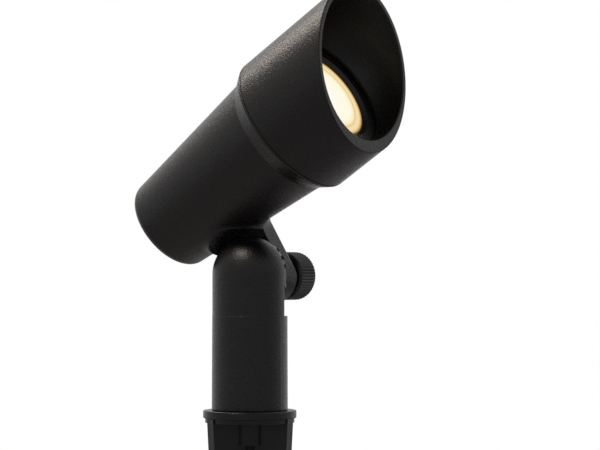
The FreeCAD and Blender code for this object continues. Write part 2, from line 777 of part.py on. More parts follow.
def is_saddle_root(edge):
    """Where the saddle and the ear leave the cup's side, in the barrel's frame."""
    box = edge.BoundBox
    reach = dim.ear_half_width.value + NEAR
    inside = box.XMin > -reach and box.XMax < reach
    low = box.ZMax < -dim.rear_radius.value / 2 and box.ZMin > on_barrel(0).value + reach
    return inside and low


def finish_housing(body):
    """Posts for the bracket, teeth, screw hole and wire way."""
    side = dim.post_side
    start = dim.rear_wall - dim.rear_position - dim.cut_margin
    posts = new_sketch(body, "posts_outline", "YZ_Plane", along=start)
    circle(posts, side, 0, dim.bracket_post_radius)
    circle(posts, -side, 0, dim.bracket_post_radius)
    extrude(body, "posts", posts, dim.bracket_seat - start)
    holes = new_sketch(body, "post_holes_outline", "YZ_Plane", along=dim.bracket_seat)
    circle(holes, side, 0, dim.bracket_screw_radius)
    circle(holes, -side, 0, dim.bracket_screw_radius)
    extrude(body, "post_holes", holes, dim.bracket_screw_length, cut=True)
    tooth_ring(body, ear_crest_face, -dim.tooth_height, dim.ear_half_width - dim.loose_gap, on_barrel(0))
    recess = new_sketch(body, "ear_recess_outline", "XZ_Plane", along=-ear_crest_face, up=on_barrel(0))
    circle(recess, 0, 0, dim.recess_radius)
    circle(recess, 0, 0, dim.post_radius)
    extrude(body, "ear_recess", recess, dim.ear_recess_depth, cut=True)
    hole = new_sketch(body, "screw_hole_outline", "XZ_Plane", along=-ear_crest_face, up=on_barrel(0))
    circle(hole, 0, 0, dim.screw_radius + dim.loose_gap)
    extrude(body, "screw_hole", hole, dim.ear_outer_face, cut=True)
    way = new_sketch(body, "wire_way_outline", "XY_Plane", along=on_barrel(wire_room_middle))
    circle(way, 0, wire_way_side, dim.wire_hole_radius)
    inside = dim.axis_height - housing_wall_radius(as_size(0)) / 2
    extrude(body, "wire_way", way, inside - wire_room_middle, cut=True, backwards=True)


def make_wire_bush():
    """Soft bush in the wire way, just under the housing's wall."""
    body = new_body("wire_bush", "head")
    top = dim.axis_height - housing_wall_radius(as_size(0))
    ring = new_sketch(body, "ring_outline", "XY_Plane", along=top - dim.bush_length)
    circle(ring, 0, wire_way_side, dim.wire_hole_radius)
    circle(ring, 0, wire_way_side, dim.bush_bore)
    extrude(body, "ring", ring, dim.bush_length)
    return body


# ---------------------------------------------------------------- inside the head

def make_socket_bracket():
    """Round plate on the housing's posts, with a window for the lamp pins and two vents."""
    body = new_body("socket_bracket", "barrel")
    plate = new_sketch(body, "plate_outline", "YZ_Plane", along=dim.bracket_seat)
    circle(plate, 0, 0, dim.bracket_radius)
    extrude(body, "plate", plate, dim.bracket_thickness)
    front = dim.bracket_seat + dim.bracket_thickness
    window = new_sketch(body, "window_outline", "YZ_Plane", along=front)
    wide = dim.bracket_window_width / 2
    high = dim.bracket_window_height / 2
    outline(window, box_corners(-wide, -high, wide, high))
    extrude(body, "window", window, dim.bracket_thickness, cut=True)
    holes = new_sketch(body, "holes_outline", "YZ_Plane", along=front)
    for side in (1, -1):
        circle(holes, dim.post_side * side, 0, dim.bracket_screw_radius + dim.bracket_hole_play)
        circle(holes, 0, dim.bracket_vent_offset * side, dim.bracket_vent_radius)
    extrude(body, "holes", holes, dim.bracket_thickness, cut=True)
    return body


def make_bracket_screws():
    """Two pan-head screws, one in each post."""
    front = dim.bracket_seat + dim.bracket_thickness
    screws = []
    for side, name in ((1, "left"), (-1, "right")):
        shank = doc.addObject("Part::Cylinder", f"bracket_screw_{name}_shank")
        bind(shank, "Radius", dim.bracket_screw_radius)
        bind(shank, "Height", dim.bracket_screw_length)
        head = doc.addObject("Part::Cylinder", f"bracket_screw_{name}_head")
        bind(head, "Radius", dim.bracket_screw_head)
        bind(head, "Height", dim.bracket_screw_head_height)
        for piece, start in ((shank, front - dim.bracket_screw_length), (head, front)):
            piece.Placement = Placement(Vector(1, 1, 1), Rotation(Vector(0, 1, 0), 90))
            bind(piece, "Placement.Base.x", start)
            bind(piece, "Placement.Base.y", dim.post_side * side)
            bind(piece, "Placement.Base.z", 0)
        screw = doc.addObject("Part::Fuse", f"bracket_screw_{name}")
        screw.Base = shank
        screw.Tool = head
        screws.append(screw)
    group = doc.addObject("Part::Compound", "bracket_screws")
    group.Label = "bracket_screws"
    group.Links = screws
    place_on(group, "barrel")
    return group


def make_lamp_socket():
    """Ceramic block behind the bracket, with two contact holes."""
    body = new_body("lamp_socket", "barrel")
    block = new_sketch(body, "block_outline", "YZ_Plane", along=dim.bracket_seat - dim.socket_length)
    wide = dim.socket_width / 2
    high = dim.socket_height / 2
    outline(block, box_corners(-wide, -high, wide, high))
    extrude(body, "block", block, dim.socket_length)
    holes = new_sketch(body, "holes_outline", "YZ_Plane", along=dim.bracket_seat)
    for side in (1, -1):
        circle(holes, dim.pin_spacing / 2 * side, 0, dim.contact_radius)
    extrude(body, "holes", holes, dim.socket_length, cut=True)
    return body


def pair_along_axis(label, start, length, inner, outer):
    """Two equal pins, or tubes where inner isn't None, each side of the head axis."""
    body_parts = []
    for side, name in ((1, "left"), (-1, "right")):
        rod = doc.addObject("Part::Cylinder", f"{label}_{name}_rod")
        pieces = [(rod, outer)]
        if inner is not None:
            hole = doc.addObject("Part::Cylinder", f"{label}_{name}_hole")
            pieces.append((hole, inner))
        for piece, radius in pieces:
            bind(piece, "Radius", radius)
            bind(piece, "Height", length)
            piece.Placement = Placement(Vector(1, 1, 1), Rotation(Vector(0, 1, 0), 90))
            bind(piece, "Placement.Base.x", start)
            bind(piece, "Placement.Base.y", dim.pin_spacing / 2 * side)
            bind(piece, "Placement.Base.z", 0)
        if inner is not None:
            tube = doc.addObject("Part::Cut", f"{label}_{name}")
            tube.Base = rod
            tube.Tool = hole
            body_parts.append(tube)
        else:
            body_parts.append(rod)
    group = doc.addObject("Part::Compound", label)
    group.Label = label
    group.Links = body_parts
    place_on(group, "barrel")
    return group


def make_socket_contacts():
    start = dim.bracket_seat - dim.contact_length - dim.contact_set_back
    return pair_along_axis("socket_contacts", start, dim.contact_length, dim.pin_radius,
                           dim.contact_radius)


def make_lamp_pins():
    start = dim.lamp_seat - dim.pin_length
    return pair_along_axis("lamp_pins", start, dim.pin_length + dim.pin_sink, None, dim.pin_radius)


def make_lamp_base():
    """Block that carries the pins, closed into the lamp's neck."""
    body = new_body("lamp_base", "barrel")
    block = new_sketch(body, "block_outline", "YZ_Plane", along=dim.lamp_seat)
    wide = dim.lamp_base_width / 2
    high = dim.lamp_base_height / 2
    outline(block, box_corners(-wide, -high, wide, high))
    extrude(body, "block", block, dim.lamp_base_length)
    holes = new_sketch(body, "holes_outline", "YZ_Plane", along=dim.lamp_seat)
    for side in (1, -1):
        circle(holes, dim.pin_spacing / 2 * side, 0, dim.pin_radius)
    extrude(body, "holes", holes, dim.pin_sink, cut=True, backwards=True)
    return body


def make_lamp_shell():
    """Flared aluminium shell of the lamp, open at the front, closed by a floor behind the board."""
    neck = dim.lamp_seat + dim.lamp_base_length
    rim = dim.lamp_front - dim.lamp_rim_length
    board = dim.lamp_board_position
    wall = dim.lamp_wall
    waist = dim.lamp_waist_position
    return turned("lamp_shell", "barrel", "X", [
        (neck, 0), (neck, dim.lamp_neck_radius), (waist, dim.lamp_waist_radius),
        (rim, dim.lamp_rim_radius), (dim.lamp_front, dim.lamp_rim_radius),
        (dim.lamp_front, dim.lamp_rim_radius - wall), (rim, dim.lamp_rim_radius - wall),
        (waist, dim.lamp_waist_radius - wall), (board, lamp_floor_radius),
        (board, 0)])


def make_lamp_board():
    """Round board with its four emitters."""
    body = new_body("lamp_board", "barrel")
    board = new_sketch(body, "board_outline", "YZ_Plane", along=dim.lamp_board_position)
    circle(board, 0, 0, lamp_floor_radius - dim.lamp_board_gap)
    extrude(body, "board", board, dim.lamp_board_thickness)
    top = dim.lamp_board_position + dim.lamp_board_thickness
    emitters = new_sketch(body, "emitter_outline", "YZ_Plane", along=top)
    half = dim.emitter_size / 2
    reach = dim.emitter_pitch / 2
    for across, up in ((1, 1), (1, -1), (-1, 1), (-1, -1)):
        outline(emitters, box_corners(reach * across - half, reach * up - half,
                                      reach * across + half, reach * up + half))
    extrude(body, "emitters", emitters, dim.emitter_thickness)
    return body


def make_lamp_optic():
    """Clear front lens of the lamp, seated inside the shell's rim."""
    radius = dim.lamp_rim_radius - dim.lamp_wall
    back = dim.lamp_front - dim.lamp_optic_thickness
    inner = radius - dim.lamp_optic_rim
    face = dim.lamp_front - dim.lamp_optic_dish
    return turned("lamp_optic", "barrel", "X", [
        (back, 0), (back, radius), (dim.lamp_front, radius), (dim.lamp_front, inner),
        (face, inner - dim.lamp_optic_slope), (face, 0)])


# ---------------------------------------------------------------- lens frame

def make_lens_frame():
    """Ring that holds the lens. Its spigot slides into the housing's mouth, its barrel is
    covered by the hood, and a groove holds the hood's clip."""
    flange = dim.head_front
    spigot = dim.mouth_radius - dim.spigot_gap
    groove_floor = spigot + dim.oring_proud - dim.oring_section
    start = dim.oring_position - dim.oring_section / 2 - dim.groove_side_gap
    end = dim.oring_position + dim.oring_section / 2 + dim.groove_side_gap
    clip_start = dim.clip_position - dim.clip_width / 2 - dim.clip_groove_play
    clip_end = dim.clip_position + dim.clip_width / 2 + dim.clip_groove_play
    return turned("lens_frame", "barrel", "X", [
        (flange - dim.spigot_length, dim.frame_inner_radius),
        (dim.lens_front, dim.frame_inner_radius), (dim.lens_front, dim.lens_opening),
        (dim.lens_front + dim.lens_opening_land, dim.lens_opening),
        (dim.frame_front, dim.lens_chamfer_radius),
        (dim.frame_front, dim.frame_radius), (clip_end, dim.frame_radius),
        (clip_end, dim.clip_inner_radius), (clip_start, dim.clip_inner_radius),
        (clip_start, dim.frame_radius), (flange, dim.frame_radius), (flange, spigot), (end, spigot),
        (end, groove_floor), (start, groove_floor), (start, spigot),
        (flange - dim.spigot_length, spigot)])


def make_frame_oring():
    """Round-section ring in the spigot's groove."""
    radius = dim.oring_section / 2
    centre = dim.mouth_radius - dim.spigot_gap + dim.oring_proud - radius
    place = dim.oring_position
    return turned("frame_oring", "barrel", "X", [
        (place - radius, centre), (place, centre - radius), (place + radius, centre),
        (place, centre + radius)], arcs={0: radius, 1: radius, 2: radius, 3: radius})


def make_lens_glass():
    bevel = dim.lens_bevel
    return turned("lens_glass", "barrel", "X", [
        (lens_back, 0), (dim.lens_front, 0), (dim.lens_front, dim.lens_radius - bevel),
        (dim.lens_front - bevel, dim.lens_radius), (lens_back + bevel, dim.lens_radius),
        (lens_back, dim.lens_radius - bevel)])


def make_lens_gasket():
    return flat_ring("lens_gasket", "barrel", "X", gasket_back, lens_back,
                     dim.gasket_inner_radius, dim.frame_inner_radius)


def make_lens_ring():
    """Ring screwed in behind the gasket."""
    return flat_ring("lens_ring", "barrel", "X", ring_back, gasket_back,
                     dim.lens_ring_inner_radius, dim.frame_inner_radius)


def make_hood_clip():
    """Open spring ring that keeps the hood on the lens frame and lets it turn."""
    body = new_body("hood_clip", "barrel")
    start = dim.clip_position - dim.clip_width / 2
    ring = new_sketch(body, "ring_outline", "YZ_Plane", along=start)
    circle(ring, 0, 0, dim.clip_inner_radius)
    circle(ring, 0, 0, dim.clip_outer_radius)
    extrude(body, "ring", ring, dim.clip_width)
    half = dim.clip_opening / 2
    reach = dim.clip_outer_radius * CUT_REACH
    gap = new_sketch(body, "gap_outline", "YZ_Plane", along=start + dim.clip_width)
    outline(gap, [(0, 0), (reach * sine(half), reach * cosine(half)),
                  (-(reach * sine(half)), reach * cosine(half))])
    extrude(body, "gap", gap, dim.clip_width, cut=True)
    return body


# ---------------------------------------------------------------- hood

def make_hood():
    """Tube with a slanted mouth, narrowing inside to a throat in front of the lens frame."""
    body = new_body("hood", "barrel")
    back = dim.head_front + dim.seam_gap
    throat_back = dim.frame_front + dim.loose_gap
    groove_start = dim.clip_position - dim.clip_width / 2 - dim.clip_hood_play
    groove_end = dim.clip_position + dim.clip_width / 2 + dim.clip_hood_play
    groove = dim.clip_outer_radius + dim.loose_gap
    end = dim.rim_top + dim.cut_margin
    turn(body, "tube", "X", [
        (back, dim.hood_bore), (groove_start, dim.hood_bore), (groove_start, groove),
        (groove_end, groove), (groove_end, dim.hood_bore), (throat_back, dim.hood_bore),
        (throat_back, dim.hood_throat_radius), (dim.hood_throat_position, dim.hood_throat_radius),
        (dim.hood_bowl_end, dim.hood_bore), (end, dim.hood_bore), (end, dim.hood_radius),
        (back, dim.hood_radius)], arcs={7: -dim.hood_bowl_curve})
    rise = (dim.rim_top - dim.rim_bottom) / (2 * dim.hood_radius)
    wide = dim.hood_radius * CUT_REACH
    far = dim.rim_top * CUT_REACH
    mouth = new_sketch(body, "mouth_outline", "XZ_Plane")
    middle = (dim.rim_top + dim.rim_bottom) / 2
    outline(mouth, [
        (middle - rise * wide, -wide), (far, -wide), (far, wide), (middle + rise * wide, wide)])
    cut = extrude(body, "mouth", mouth, wide * 2, cut=True, both_ways=True)
    round_edges(body, "rim_edges", cut, is_rim_edge, dim.rim_edge)
    return body


def is_rim_edge(edge):
    """The oval edges of the slanted mouth, inner and outer, in the barrel's frame."""
    box = edge.BoundBox
    oval = edge.Curve.TypeId in ("Part::GeomEllipse", "Part::GeomBSplineCurve")
    least_length, set_back = 5, 1      # along the head axis: an oval's length, and room behind the bowl's end
    return oval and box.XLength > least_length and box.XMax > dim.hood_bowl_end.value - set_back


# ---------------------------------------------------------------- leads

def rounded_path(points, share=0.45):
    """Straight runs joined by tangent arcs, each as large as its shorter run allows."""
    edges = []
    start = points[0]
    for before, corner, after in zip(points, points[1:], points[2:]):
        back = (before - corner)
        ahead = (after - corner)
        reach = share * min(back.Length, ahead.Length)
        back.normalize()
        ahead.normalize()
        entry = corner + back * reach
        leave = corner + ahead * reach
        half_angle = back.getAngle(ahead) / 2
        radius = reach * math.tan(half_angle)
        middle = (back + ahead).normalize()
        centre = corner + middle * (radius / math.sin(half_angle))
        edges.append(Part.LineSegment(start, entry).toShape())
        edges.append(Part.Arc(entry, centre - middle * radius, leave).toShape())
        start = leave
    edges.append(Part.LineSegment(start, points[-1]).toShape())
    return Part.Wire(edges)


def tube(points, radius, tolerance=0.02):
    """A round lead along the path. Its volume has to be its section times its length."""
    path = rounded_path(points)
    heading = points[1] - points[0]
    section = Part.Wire([Part.Circle(points[0], heading, radius).toShape()])
    solid = path.makePipeShell([section], True, False)
    expected = math.pi * radius ** 2 * path.Length
    if abs(solid.Volume - expected) > tolerance * expected:
        raise ValueError(f"lead volume {solid.Volume:.1f}, expected {expected:.1f}")
    return solid


def direct_shape(label, solids, place):
    thing = doc.addObject("Part::Feature", label)
    thing.Label = label
    thing.Shape = Part.makeCompound(solids)
    thing.Placement = place_of(place)
    return thing


def make_splice_caps():
    """Two closed caps where the supply cable's cores meet the leads."""
    caps = []
    for side in (1, -1):
        centre = Vector(side * dim.splice_side.value, 0, splice_foot.value)
        caps.append(Part.makeCylinder(dim.splice_radius.value, dim.splice_length.value, centre, UP))
    return direct_shape("splice_caps", caps, "pivot")


def make_stem_leads():
    """Two leads from the splice caps, up the wire hole and out towards the ear."""
    leads = []
    ring = wire_room_middle.value
    hole = -dim.wire_hole_offset.value
    mouth = -dim.stem_bore_top.value
    rise = mouth - splice_top.value
    low_bend, high_bend = 0.4, 0.9                    # shares of the way from the caps to the wire hole
    for side in (1, -1):
        across = side * dim.lead_spacing.value / 2
        outer = side * dim.splice_side.value
        points = [
            Vector(outer, 0, splice_top.value),
            Vector(outer, 0, splice_top.value + rise * low_bend),
            Vector(across, hole, splice_top.value + rise * high_bend), Vector(across, hole, -ring),
            Vector(across, crest_face.value, -ring)]
        leads.append(tube(points, dim.lead_radius.value))
    return direct_shape("stem_leads", leads, "pivot")


def make_head_leads():
    """Two leads from the knuckle, round the screw, up the wire way and on to the socket."""
    leads = []
    ring = wire_room_middle.value
    outer_lean = 1.03                                 # the leads lean on the room's outer wall
    straight_down = -90 - dim.head_tilt.value
    way_out = dim.lead_way_turn.value - 270
    steps = 4                                         # points on the way round the screw
    socket_back = (dim.bracket_seat - dim.socket_length).value
    height = dim.axis_height.value
    for side in (1, -1):
        level = wire_way_side.value + side * dim.lead_spacing.value / 2
        turn_in = straight_down + side * dim.lead_end_turn.value
        points = [ring_point(ring, turn_in, ear_crest_face.value), ring_point(ring, turn_in, level)]
        for step in range(1, steps + 1):
            angle = turn_in + (way_out - turn_in) * step / steps
            points.append(ring_point(ring * outer_lean, angle, level))
        pin = side * dim.pin_spacing.value / 2
        points += [
            Vector(0, level, ring + dim.lead_climb.value),
            Vector(0, level, height - dim.lead_bend_drop.value),
            Vector(-dim.lead_bend_set_back.value, pin, height - dim.lead_socket_drop.value),
            Vector(socket_back - dim.lead_socket_run.value, pin, height - dim.lead_socket_sag.value),
            Vector(socket_back, pin, height)]
        leads.append(tube(points, dim.lead_radius.value))
    return direct_shape("head_leads", leads, "head")


def ring_point(radius, degrees, side):
    """A point round the screw: degrees from the head's forward direction towards its up direction."""
    angle = math.radians(degrees)
    return Vector(radius * math.cos(angle), side, radius * math.sin(angle))


# ---------------------------------------------------------------- the whole lamp

housing = make_housing()
finish_housing(housing)
pieces = [
    make_ground_stake(), make_swivel_bolt(), make_cable_grommet(),
    flat_ring("friction_washer", "soil", "Z", plug_top, bolt_seat,
              dim.bolt_radius, dim.friction_washer_radius),
    make_stem(), make_base_plug(), make_base_seal(), make_thread_insert(), make_splice_caps(),
    make_stem_leads(), housing, make_wire_bush(), make_socket_bracket(), make_bracket_screws(),
    make_lamp_socket(), make_socket_contacts(), make_head_leads(), make_lamp_base(),
    make_lamp_pins(), make_lamp_shell(), make_lamp_board(), make_lamp_optic(), make_lens_frame(),
    make_frame_oring(), make_lens_glass(), make_lens_gasket(), make_lens_ring(), make_hood_clip(),
    make_hood(), make_thumb_washer(), make_knob(), make_knob_screw()]
doc.recompute()

for thing in doc.Objects:
    if "Invalid" in thing.State or "Error" in thing.State:
        raise RuntimeError(f"{thing.Label} failed: {thing.State}")
    if thing.TypeId in ("PartDesign::Pocket", "PartDesign::Groove"):
        removed = thing.BaseFeature.Shape.Volume - thing.Shape.Volume
        if removed <= 0:
            raise RuntimeError(f"{thing.Label} cuts nothing")
for piece in pieces:
    if piece.Shape.isNull() or not piece.Shape.isValid():
        raise RuntimeError(f"{piece.Label} has no valid shape")

os.makedirs("parts", exist_ok=True)
for piece in pieces:
    piece.Shape.exportStep(os.path.join("parts", piece.Label + ".step"))
    box = piece.Shape.BoundBox
    print(f"{piece.Label:18s} {len(piece.Shape.Solids)} solid(s) {piece.Shape.Volume:10.1f} mm3  "
          f"X {box.XMin:7.2f} {box.XMax:7.2f}  Y {box.YMin:7.2f} {box.YMax:7.2f}  "
          f"Z {box.ZMin:7.2f} {box.ZMax:7.2f}")
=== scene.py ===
import json
import math

import bpy
import numpy as np
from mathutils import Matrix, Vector


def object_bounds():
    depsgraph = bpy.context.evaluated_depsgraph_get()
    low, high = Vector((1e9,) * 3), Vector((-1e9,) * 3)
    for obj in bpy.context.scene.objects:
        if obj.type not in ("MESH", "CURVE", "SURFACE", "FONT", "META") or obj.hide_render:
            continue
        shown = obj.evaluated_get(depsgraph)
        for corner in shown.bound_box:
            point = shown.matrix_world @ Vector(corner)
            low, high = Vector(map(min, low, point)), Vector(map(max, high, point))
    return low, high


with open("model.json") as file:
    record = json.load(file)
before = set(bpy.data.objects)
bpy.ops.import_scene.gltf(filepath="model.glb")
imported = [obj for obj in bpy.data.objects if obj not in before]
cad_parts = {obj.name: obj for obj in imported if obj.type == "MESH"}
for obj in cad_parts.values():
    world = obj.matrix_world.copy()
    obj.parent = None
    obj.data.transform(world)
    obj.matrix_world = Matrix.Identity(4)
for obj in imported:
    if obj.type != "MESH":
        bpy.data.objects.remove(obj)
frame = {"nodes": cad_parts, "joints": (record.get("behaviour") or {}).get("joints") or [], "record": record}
cadLow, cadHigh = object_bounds()
nodes = frame["nodes"]
joints = {joint["name"]: joint for joint in frame["joints"]}
mm = 0.001

# the head's axis comes from the joints, so the rings of light land on the lens
headAxis = Vector(joints["lens_frame_pull"]["axis"]).normalized()
pointOnAxis = Vector(joints["hood_turn"]["pos_m"])
print("frame: head axis", tuple(round(c, 4) for c in headAxis))


photoView = {
    "place": (0.5565, -0.7481, 0.0587),    # fitted to the photo's outlines
    "turnDeg": 35.34,                      # from looking along +Y towards -X
    "pitchDeg": 1.405,                     # up
    "lensMm": 132.0,
    "sensorMm": 36.0,
    "clipNear": 0.05,
    "clipFar": 20.0,
}


def makeCamera(look):
    data = bpy.data.cameras.new("photoCamera")
    data.lens = look["lensMm"]
    data.sensor_width = look["sensorMm"]
    data.sensor_fit = "HORIZONTAL"
    data.clip_start = look["clipNear"]
    data.clip_end = look["clipFar"]
    camera = bpy.data.objects.new("photoCamera", data)
    turn = math.radians(look["turnDeg"])
    pitch = math.radians(look["pitchDeg"])
    ahead = Vector((-math.sin(turn) * math.cos(pitch), math.cos(turn) * math.cos(pitch), math.sin(pitch)))
    camera.location = look["place"]
    camera.rotation_mode = "QUATERNION"
    camera.rotation_quaternion = ahead.to_track_quat("-Z", "Y")
    bpy.context.scene.collection.objects.link(camera)
    bpy.context.scene.camera = camera
    return camera


camera = makeCamera(photoView)
print("camera: in place")


def toLinear(hexText):
    # sRGB hex to linear: the standard curve, a straight piece below 0.04045 and a power above it
    levels = [int(hexText[i:i + 2], 16) / 255 for i in (1, 3, 5)]
    return [c / 12.92 if c <= 0.04045 else ((c + 0.055) / 1.055) ** 2.4 for c in levels] + [1.0]


def addNode(tree, kind, settings=None, inputs=None, stops=()):
    # settings are the node's own properties; an input is a value, or the socket that feeds it;
    # stops are a colour ramp's (place, hex colour)
    node = tree.nodes.new(kind)
    for name, value in (settings or {}).items():
        setattr(node, name, value)
    for name, value in (inputs or {}).items():
        if isinstance(value, bpy.types.NodeSocket):
            tree.links.new(value, node.inputs[name])
        else:
            node.inputs[name].default_value = value
    if stops:
        elements = node.color_ramp.elements
        while len(elements) < len(stops):
            elements.new(0.5)
        for element, (place, colour) in zip(elements, stops):
            element.position = place
            element.color = toLinear(colour)
    return node


def newMaterial(name, sockets):
    material = bpy.data.materials.new(name)
    material.use_nodes = True
    tree = material.node_tree
    shader = tree.nodes["Principled BSDF"]
    for socket, value in sockets.items():
        shader.inputs[socket].default_value = value
    return material, tree, shader


noiseLow, noiseHigh = 0.3, 0.7    # most of a noise's values lie between these

powderCoatLook = {
    # the third colour is the lighter edge colour: partly rubbed wear, partly a painted edge highlight
    "dark": "#0d0c0c", "light": "#1a1817", "edgeWearAndHighlight": "#272523",
    "darkAt": 0.35, "lightAt": 0.68,       # levels of the pebble noise
    "pebbleMm": 0.7,          # the real pebbles are about 0.3 mm; drawn coarser so that they show
    "swellMm": 3.2,           # slow unevenness of the coat
    "swellShare": 0.5,        # its height as a share of the pebbles'
    "bumpMm": 0.15,
    "edgeMm": 0.35,           # how far round an edge the normal is rounded and the colour drawn lighter, as rubbed wear and painted edge highlight
    "edgeStart": 0.99, "edgeFull": 0.9,    # cosine between the rounded normal and the true one
    "edgeWearAndHighlightMost": 0.8,
    "roughness": 0.31, "roughSpread": 0.08,
    "gloss": 0.17,            # low, because reflections see a white background
}


def powderCoat(name, look):
    # cast aluminium under fine-textured black polyester powder: dull and pebbled, so that it
    # breaks up a highlight into small glints; round an edge the colour is drawn lighter, partly as rubbed
    # wear and partly as a painted edge highlight
    material, tree, shader = newMaterial(name, {
        "Metallic": 0.0, "IOR": 1.5, "Specular IOR Level": look["gloss"]})
    point = addNode(tree, "ShaderNodeTexCoord").outputs["Object"]
    pebble = addNode(tree, "ShaderNodeTexNoise", inputs={
        "Vector": point, "Scale": 1 / (look["pebbleMm"] * mm), "Detail": 3.0, "Roughness": 0.6})
    swell = addNode(tree, "ShaderNodeTexNoise", inputs={
        "Vector": point, "Scale": 1 / (look["swellMm"] * mm), "Detail": 2.0, "Roughness": 0.5})
    height = addNode(tree, "ShaderNodeMath", {"operation": "MULTIPLY_ADD"}, {
        0: swell.outputs["Fac"], 1: look["swellShare"], 2: pebble.outputs["Fac"]})
    edge = addNode(tree, "ShaderNodeBevel", {"samples": 4}, {"Radius": look["edgeMm"] * mm})
    flat = addNode(tree, "ShaderNodeNewGeometry")
    turned = addNode(tree, "ShaderNodeVectorMath", {"operation": "DOT_PRODUCT"}, {
        0: edge.outputs["Normal"], 1: flat.outputs["Normal"]})
    # painted edge highlight, partly rubbed wear: the colour turns lighter where the rounded normal leaves
    # the true one
    edgeWearAndHighlightShare = addNode(tree, "ShaderNodeMapRange", inputs={
        "Value": turned.outputs["Value"], "From Min": look["edgeStart"], "From Max": look["edgeFull"],
        "To Min": 0.0, "To Max": look["edgeWearAndHighlightMost"]})
    skin = addNode(tree, "ShaderNodeValToRGB", inputs={"Fac": pebble.outputs["Fac"]}, stops=[
        (look["darkAt"], look["dark"]), (look["lightAt"], look["light"])])
    # sockets of the colour mix: 0 is the share, 6 and 7 the two colours, output 2 the result
    mix = addNode(tree, "ShaderNodeMix", {"data_type": "RGBA"}, {
        0: edgeWearAndHighlightShare.outputs["Result"], 6: skin.outputs["Color"], 7: toLinear(look["edgeWearAndHighlight"])})
    rough = addNode(tree, "ShaderNodeMapRange", inputs={
        "Value": pebble.outputs["Fac"], "From Min": noiseLow, "From Max": noiseHigh,
        "To Min": look["roughness"] + look["roughSpread"],
        "To Max": look["roughness"] - look["roughSpread"]})
    bump = addNode(tree, "ShaderNodeBump", inputs={
        "Height": height.outputs[0], "Distance": look["bumpMm"] * mm, "Strength": 1.0,
        "Normal": edge.outputs["Normal"]})
    tree.links.new(mix.outputs[2], shader.inputs["Base Color"])
    tree.links.new(rough.outputs["Result"], shader.inputs["Roughness"])
    tree.links.new(bump.outputs["Normal"], shader.inputs["Normal"])
    return material


plasticLook = {
    "spike": {"dark": "#0c0c0d", "light": "#131314", "grainMm": 0.35, "bumpMm": 0.012,
              "roughness": 0.34, "gloss": 0.15},
    "knob": {"dark": "#0f0f10", "light": "#181817", "grainMm": 0.5, "bumpMm": 0.02,
             "roughness": 0.38, "gloss": 0.18},
    "grey": {"dark": "#4a4b4d", "light": "#5a5b5d", "grainMm": 0.4, "bumpMm": 0.01,
             "roughness": 0.4, "gloss": 0.4},
    "white": {"dark": "#d8d7d2", "light": "#e6e5e0", "grainMm": 0.4, "bumpMm": 0.008,
              "roughness": 0.35, "gloss": 0.5},
    "steatite": {"dark": "#dcd8cc", "light": "#e9e6dc", "grainMm": 0.25, "bumpMm": 0.012,
                 "roughness": 0.5, "gloss": 0.4},
    "rubber": {"dark": "#111111", "light": "#181818", "grainMm": 0.3, "bumpMm": 0.01,
               "roughness": 0.7, "gloss": 0.15},
    "lead": {"dark": "#101010", "light": "#191919", "grainMm": 0.3, "bumpMm": 0.005,
             "roughness": 0.45, "gloss": 0.3},
    "solderMask": {"dark": "#d9dad2", "light": "#e4e5de", "grainMm": 0.5, "bumpMm": 0.01,
                   "roughness": 0.4, "gloss": 0.5},
}
mottle = {"sizeMm": 14.0, "darkAt": 0.35, "lightAt": 0.65, "glossier": 0.04, "duller": 0.06}


def mouldedPlastic(name, look):
    # moulded plastic or rubber, pressed ceramic, solder mask: one colour, a faint mottle, a fine grain
    material, tree, shader = newMaterial(name, {
        "Metallic": 0.0, "IOR": 1.5, "Specular IOR Level": look["gloss"]})
    point = addNode(tree, "ShaderNodeTexCoord").outputs["Object"]
    grain = addNode(tree, "ShaderNodeTexNoise", inputs={
        "Vector": point, "Scale": 1 / (look["grainMm"] * mm), "Detail": 3.0, "Roughness": 0.55})
    cloud = addNode(tree, "ShaderNodeTexNoise", inputs={
        "Vector": point, "Scale": 1 / (mottle["sizeMm"] * mm), "Detail": 2.0, "Roughness": 0.5})
    colour = addNode(tree, "ShaderNodeValToRGB", inputs={"Fac": cloud.outputs["Fac"]}, stops=[
        (mottle["darkAt"], look["dark"]), (mottle["lightAt"], look["light"])])
    rough = addNode(tree, "ShaderNodeMapRange", inputs={
        "Value": cloud.outputs["Fac"], "From Min": noiseLow, "From Max": noiseHigh,
        "To Min": look["roughness"] - mottle["glossier"], "To Max": look["roughness"] + mottle["duller"]})
    bump = addNode(tree, "ShaderNodeBump", inputs={
        "Height": grain.outputs["Fac"], "Distance": look["bumpMm"] * mm, "Strength": 1.0})
    tree.links.new(colour.outputs["Color"], shader.inputs["Base Color"])
    tree.links.new(rough.outputs["Result"], shader.inputs["Roughness"])
    tree.links.new(bump.outputs["Normal"], shader.inputs["Normal"])
    return material


metalLook = {
    "brass": {"dark": "#b08a45", "light": "#c8a45c", "roughness": 0.28},
    "stainless": {"dark": "#a9a9a6", "light": "#bdbdba", "roughness": 0.3},
    "zinc": {"dark": "#a8abae", "light": "#bfc2c5", "roughness": 0.38},
    "aluminium": {"dark": "#c3c4c6", "light": "#d3d4d6", "roughness": 0.34},
}
machining = {"cloudMm": 5.0, "markMm": 0.6, "bumpMm": 0.004, "glossier": 0.08, "duller": 0.1}


